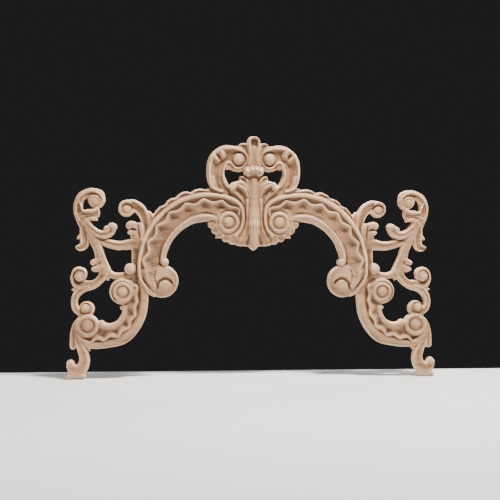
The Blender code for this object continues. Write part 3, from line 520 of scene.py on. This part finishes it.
# The mesh is thinned where the wood is plain, and keeps its points where it is finely carved.
rough_mesh = bpy.data.meshes.new("rough_crest")
sheet.to_mesh(rough_mesh)
sheet.free()
rough = bpy.data.objects.new("rough_crest", rough_mesh)
bpy.context.scene.collection.objects.link(rough)
rough.modifiers.new("Thin", "DECIMATE").ratio = FACES / len(rough_mesh.polygons)
evaluated = rough.evaluated_get(bpy.context.evaluated_depsgraph_get())
carving_mesh = bpy.data.meshes.new_from_object(evaluated)
carving_mesh.name = "crest_carving"
bpy.data.objects.remove(rough)
for vertex in carving_mesh.vertices:
    if abs(vertex.co.y) < 10 * NEAR:
        vertex.co.y = 0.0
carving_mesh.shade_smooth()
for face in carving_mesh.polygons:
    face.use_smooth = face.normal.y < ALL_BUT
carving_mesh.set_sharp_from_angle(angle=math.radians(SHARP_DEGREES))


# How far each point lies below the wood around it, from 0 on the ridges to 1 in the hollows; it paints shade
# into the hollows and a highlight onto the ridges. The drawing is softened by a bell curve at three reaches,
# and set against the drawing itself.
REACHES = ((1.2, 0.12), (4.0, 0.7), (10.0, 0.9))  # each in millimetres, with its share
FULL_HOLLOW = 0.8  # depth of a full hollow, as a share of the reach
WOOD_FROM_MM = 0.2
LEAST_WOOD = 0.05
RIDGE_SHARE = 0.6  # ridges count for less than hollows
PAINTED_RIM_HIGHLIGHT = -1.0  # painted highlight all round the outline
RIM_MM = 4.0


def on_board(values):
    """Values at the sheet's points, set out in its rows and columns."""
    board = np.zeros((rows + 1, columns + 1))
    board[board_row, board_column] = values
    return board


def softened(board, reach_mm):
    """The board's values blurred by a bell curve with that reach."""
    across = np.fft.rfftfreq(board.shape[1], PITCH_MM)[None, :]
    up = np.fft.fftfreq(board.shape[0], PITCH_MM)[:, None]
    bell = np.exp(-2 * (np.pi * reach_mm) ** 2 * (across**2 + up**2))
    return np.fft.irfft2(np.fft.rfft2(board) * bell, board.shape)


board_column = np.rint((plan[:, 0] + 0.5) * columns).astype(int)
board_row = np.rint((plan[:, 1] + 0.5) * rows).astype(int)
carved = on_board(crest.height)
wooded = on_board(crest.room > WOOD_FROM_MM)
hollow = np.zeros(carved.shape)
for reach_mm, share in REACHES:
    around = softened(carved * wooded, reach_mm) / np.maximum(softened(wooded, reach_mm), LEAST_WOOD)
    hollow += share * (around - carved) / (FULL_HOLLOW * reach_mm)
inland = on_board(np.clip(crest.room / RIM_MM, 0, 1))
# The outline is set as a full ridge all round, which paints a highlight along it.
hollow = np.where(hollow < 0, RIDGE_SHARE, 1.0) * hollow * inland + PAINTED_RIM_HIGHLIGHT * (1 - inland)
corners = np.array([vertex.co for vertex in carving_mesh.vertices])
column = (np.abs(corners[:, 0]) / MM + MARGIN_MM) / sheet_width * columns
row = (corners[:, 2] / MM - FOOT_MM) / sheet_height * rows
row = np.clip(np.rint(row), 0, rows).astype(int)
column = np.clip(np.rint(column), 0, columns).astype(int)
found = hollow[row, column]
marks = np.clip(0.5 + 0.5 * found, 0, 1)
marks_round = []
for face in carving_mesh.polygons:
    marks_round.extend(marks[corner] if face.use_smooth else 0.5 for corner in face.vertices)
depth_mark = carving_mesh.attributes.new("hollow", "FLOAT", "CORNER")
depth_mark.data.foreach_set("value", marks_round)
carving = bpy.data.objects.new("crest_carving", carving_mesh)
bpy.context.scene.collection.objects.link(carving)


# The wood
# Bare hardwood, planed and carved but neither stained nor varnished: pale and warm, with fine grain running
# across the crest and faint cutter tracks. Highlight is painted paler on the ridges and the outline, and
# shade is painted browner in the hollows.
class Val:
    """A socket that takes Python arithmetic, each operation adding its Math node."""

    def __init__(self, socket):
        self.socket = socket

    def __add__(self, other):
        return wood_node("ShaderNodeMath", {"operation": "ADD"}, {0: self, 1: other})

    __radd__ = __add__

    def __mul__(self, other):
        return wood_node("ShaderNodeMath", {"operation": "MULTIPLY"}, {0: self, 1: other})

    __rmul__ = __mul__


def wood_node(kind, settings, values, output=0):
    """Adds a node to the wood: its settings come first, then its sockets' values or links."""
    node = wood.node_tree.nodes.new(kind)
    for name, value in settings.items():
        setattr(node, name, value)
    for name, value in values.items():
        if isinstance(value, Val):
            wood.node_tree.links.new(value.socket, node.inputs[name])
        else:
            node.inputs[name].default_value = value
    return Val(node.outputs[output])


def tinted(amount, base, tint):
    """A colour that passes into another as the amount goes from 0 to 1."""
    return wood_node("ShaderNodeMix", {"data_type": "RGBA"}, {"Factor": amount, 6: base, 7: tint}, 2)


def stretched(value, low, high):
    """The value spread so that low becomes 0 and high becomes 1."""
    return wood_node("ShaderNodeMapRange", {}, {"Value": value, "From Min": low, "From Max": high})


def noise(place, scale, detail):
    """Soft noise that lies still in the wood."""
    return wood_node("ShaderNodeTexNoise", {}, {"Vector": place, "Scale": scale, "Detail": detail}, "Fac")


BROWN_GRAIN = (0.21, 0.097, 0.040, 1)
PALE_GRAIN = (0.41, 0.218, 0.102, 1)
# Painted shade: a deep brown painted into the hollows.
PAINTED_HOLLOW_SHADE = (0.10, 0.038, 0.016, 1)
# Painted highlight: a pale colour painted onto the ridges and along the outline.
PAINTED_RIDGE_HIGHLIGHT = (0.92, 0.63, 0.40, 1)
GRAIN_STRETCH = (9.0, 60.0, 60.0)
TRACK_DEPTH = 0.0003
wood = bpy.data.materials.new("pale_hardwood")
wood.use_nodes = True
shader = wood.node_tree.nodes["Principled BSDF"]
spot = wood_node("ShaderNodeTexCoord", {}, {}, "Object")
along_grain = wood_node("ShaderNodeMapping", {}, {"Vector": spot, "Scale": GRAIN_STRETCH})
fine_grain = noise(along_grain, 28.0, 2.0)
grain = noise(along_grain, 2.2, 5.0) * 0.5 + fine_grain * 0.15 + noise(spot, 11.0, 2.0) * 0.35
timber = tinted(stretched(grain, 0.4, 0.6), BROWN_GRAIN, PALE_GRAIN)
depth = wood_node("ShaderNodeAttribute", {"attribute_name": "hollow"}, {}, "Fac")
# Painted shade: the deeper a point lies below the wood around it, the browner it is painted.
shaded = tinted(stretched(depth, 0.5, 0.9) * 0.9, timber, PAINTED_HOLLOW_SHADE)
# Painted highlight: the ridges and the outline are painted pale.
with_painted_highlight = tinted(stretched(depth, 0.5, 0.1) * 0.8, shaded, PAINTED_RIDGE_HIGHLIGHT)
wood.node_tree.links.new(with_painted_highlight.socket, shader.inputs["Base Color"])
shader.inputs["Roughness"].default_value = 0.55
shader.inputs["Specular IOR Level"].default_value = 0.4
tracks = wood_node("ShaderNodeBump", {},
                   {"Strength": 0.4, "Distance": TRACK_DEPTH, "Height": fine_grain})
wood.node_tree.links.new(tracks.socket, shader.inputs["Normal"])

carving_mesh.materials.clear()
carving_mesh.materials.append(wood)
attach(carving, "root")
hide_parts("carved_crest")

# The floor
# A plain pale floor just under the crest's feet, which ends a little way behind it, so that the
# openings stay dark. The feet stand half a millimetre clear of it.
FLOOR_SIZE = 3.0
BEHIND_CREST = 0.10
CLEARANCE = 0.0005
WARM_GREY = (0.72, 0.71, 0.69, 1)
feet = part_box("carved_crest")[0][2]
floor_sheet = bmesh.new()
bmesh.ops.create_grid(floor_sheet, x_segments=1, y_segments=1, size=FLOOR_SIZE / 2)
bmesh.ops.translate(floor_sheet, verts=floor_sheet.verts,
                    vec=(0, BEHIND_CREST - FLOOR_SIZE / 2, feet - CLEARANCE))
floor_mesh = bpy.data.meshes.new("floor")
floor_sheet.to_mesh(floor_mesh)
floor_sheet.free()
floor = bpy.data.objects.new("floor", floor_mesh)
bpy.context.scene.collection.objects.link(floor)
floor_paint = bpy.data.materials.new("floor_paint")
floor_paint.use_nodes = True
floor_shader = floor_paint.node_tree.nodes["Principled BSDF"]
floor_shader.inputs["Base Color"].default_value = WARM_GREY
floor_shader.inputs["Roughness"].default_value = 0.9
floor_mesh.materials.append(floor_paint)

# The light
# A soft panel high up in front rakes over the carving. Weaker ones stand in front, on each side and
# behind, in a dim even surround.
DIM_GREY = (0.016, 0.016, 0.017, 1)
surround = bpy.data.worlds.new("surround")
surround.use_nodes = True
surround.node_tree.nodes["Background"].inputs["Color"].default_value = DIM_GREY
surround.node_tree.nodes["Background"].inputs["Strength"].default_value = 1.0
bpy.context.scene.world = surround
LIGHT_TARGET = Vector((0.0, 0.0, -0.06))


def soft_panel(name, place, size, watts):
    """A rectangular light turned towards the middle of the crest."""
    light = bpy.data.lights.new(name, "AREA")
    light.shape = "RECTANGLE"
    light.size, light.size_y = size
    light.energy = watts
    lamp = bpy.data.objects.new(name, light)
    lamp.location = place
    lamp.rotation_euler = (LIGHT_TARGET - Vector(place)).to_track_quat("-Z", "Y").to_euler()
    bpy.context.scene.collection.objects.link(lamp)


soft_panel("key_panel", (0.3, -0.5, 1.3), (0.3, 0.15), 78)
soft_panel("front_panel", (0.4, -2.4, 0.3), (1.2, 0.9), 3)
soft_panel("left_panel", (-1.6, -0.2, 0.2), (0.6, 1.0), 10)
soft_panel("right_panel", (1.6, -0.2, 0.2), (0.6, 1.0), 12)
soft_panel("rear_panel", (1.0, 1.3, 1.2), (0.7, 0.5), 22)

# The camera
# It stands a little to the left of the crest's middle, level with it, and frames the whole crest as the
# photograph does.
DISTANCE = 1.8
YAW = math.radians(5.75)
ROLL_ANGLE = math.radians(0.1)
MM_PER_PIXEL = 1.626
FRAME_PIXELS = 500
AIM = Vector((-0.0051, 0.0, -0.0542))
lens_camera = bpy.data.cameras.new("camera")
lens_camera.sensor_width = 36.0
lens_camera.lens = lens_camera.sensor_width * DISTANCE / (FRAME_PIXELS * MM_PER_PIXEL * MM)
camera = bpy.data.objects.new("camera", lens_camera)
away = Vector((-math.sin(YAW), -math.cos(YAW), 0.0))
camera.location = AIM + away * DISTANCE
view = (-away).to_track_quat("-Z", "Y").to_matrix().to_4x4()
camera.matrix_world = Matrix.Translation(camera.location) @ view @ Matrix.Rotation(ROLL_ANGLE, 4, "Z")
bpy.context.scene.collection.objects.link(camera)
bpy.context.scene.camera = camera
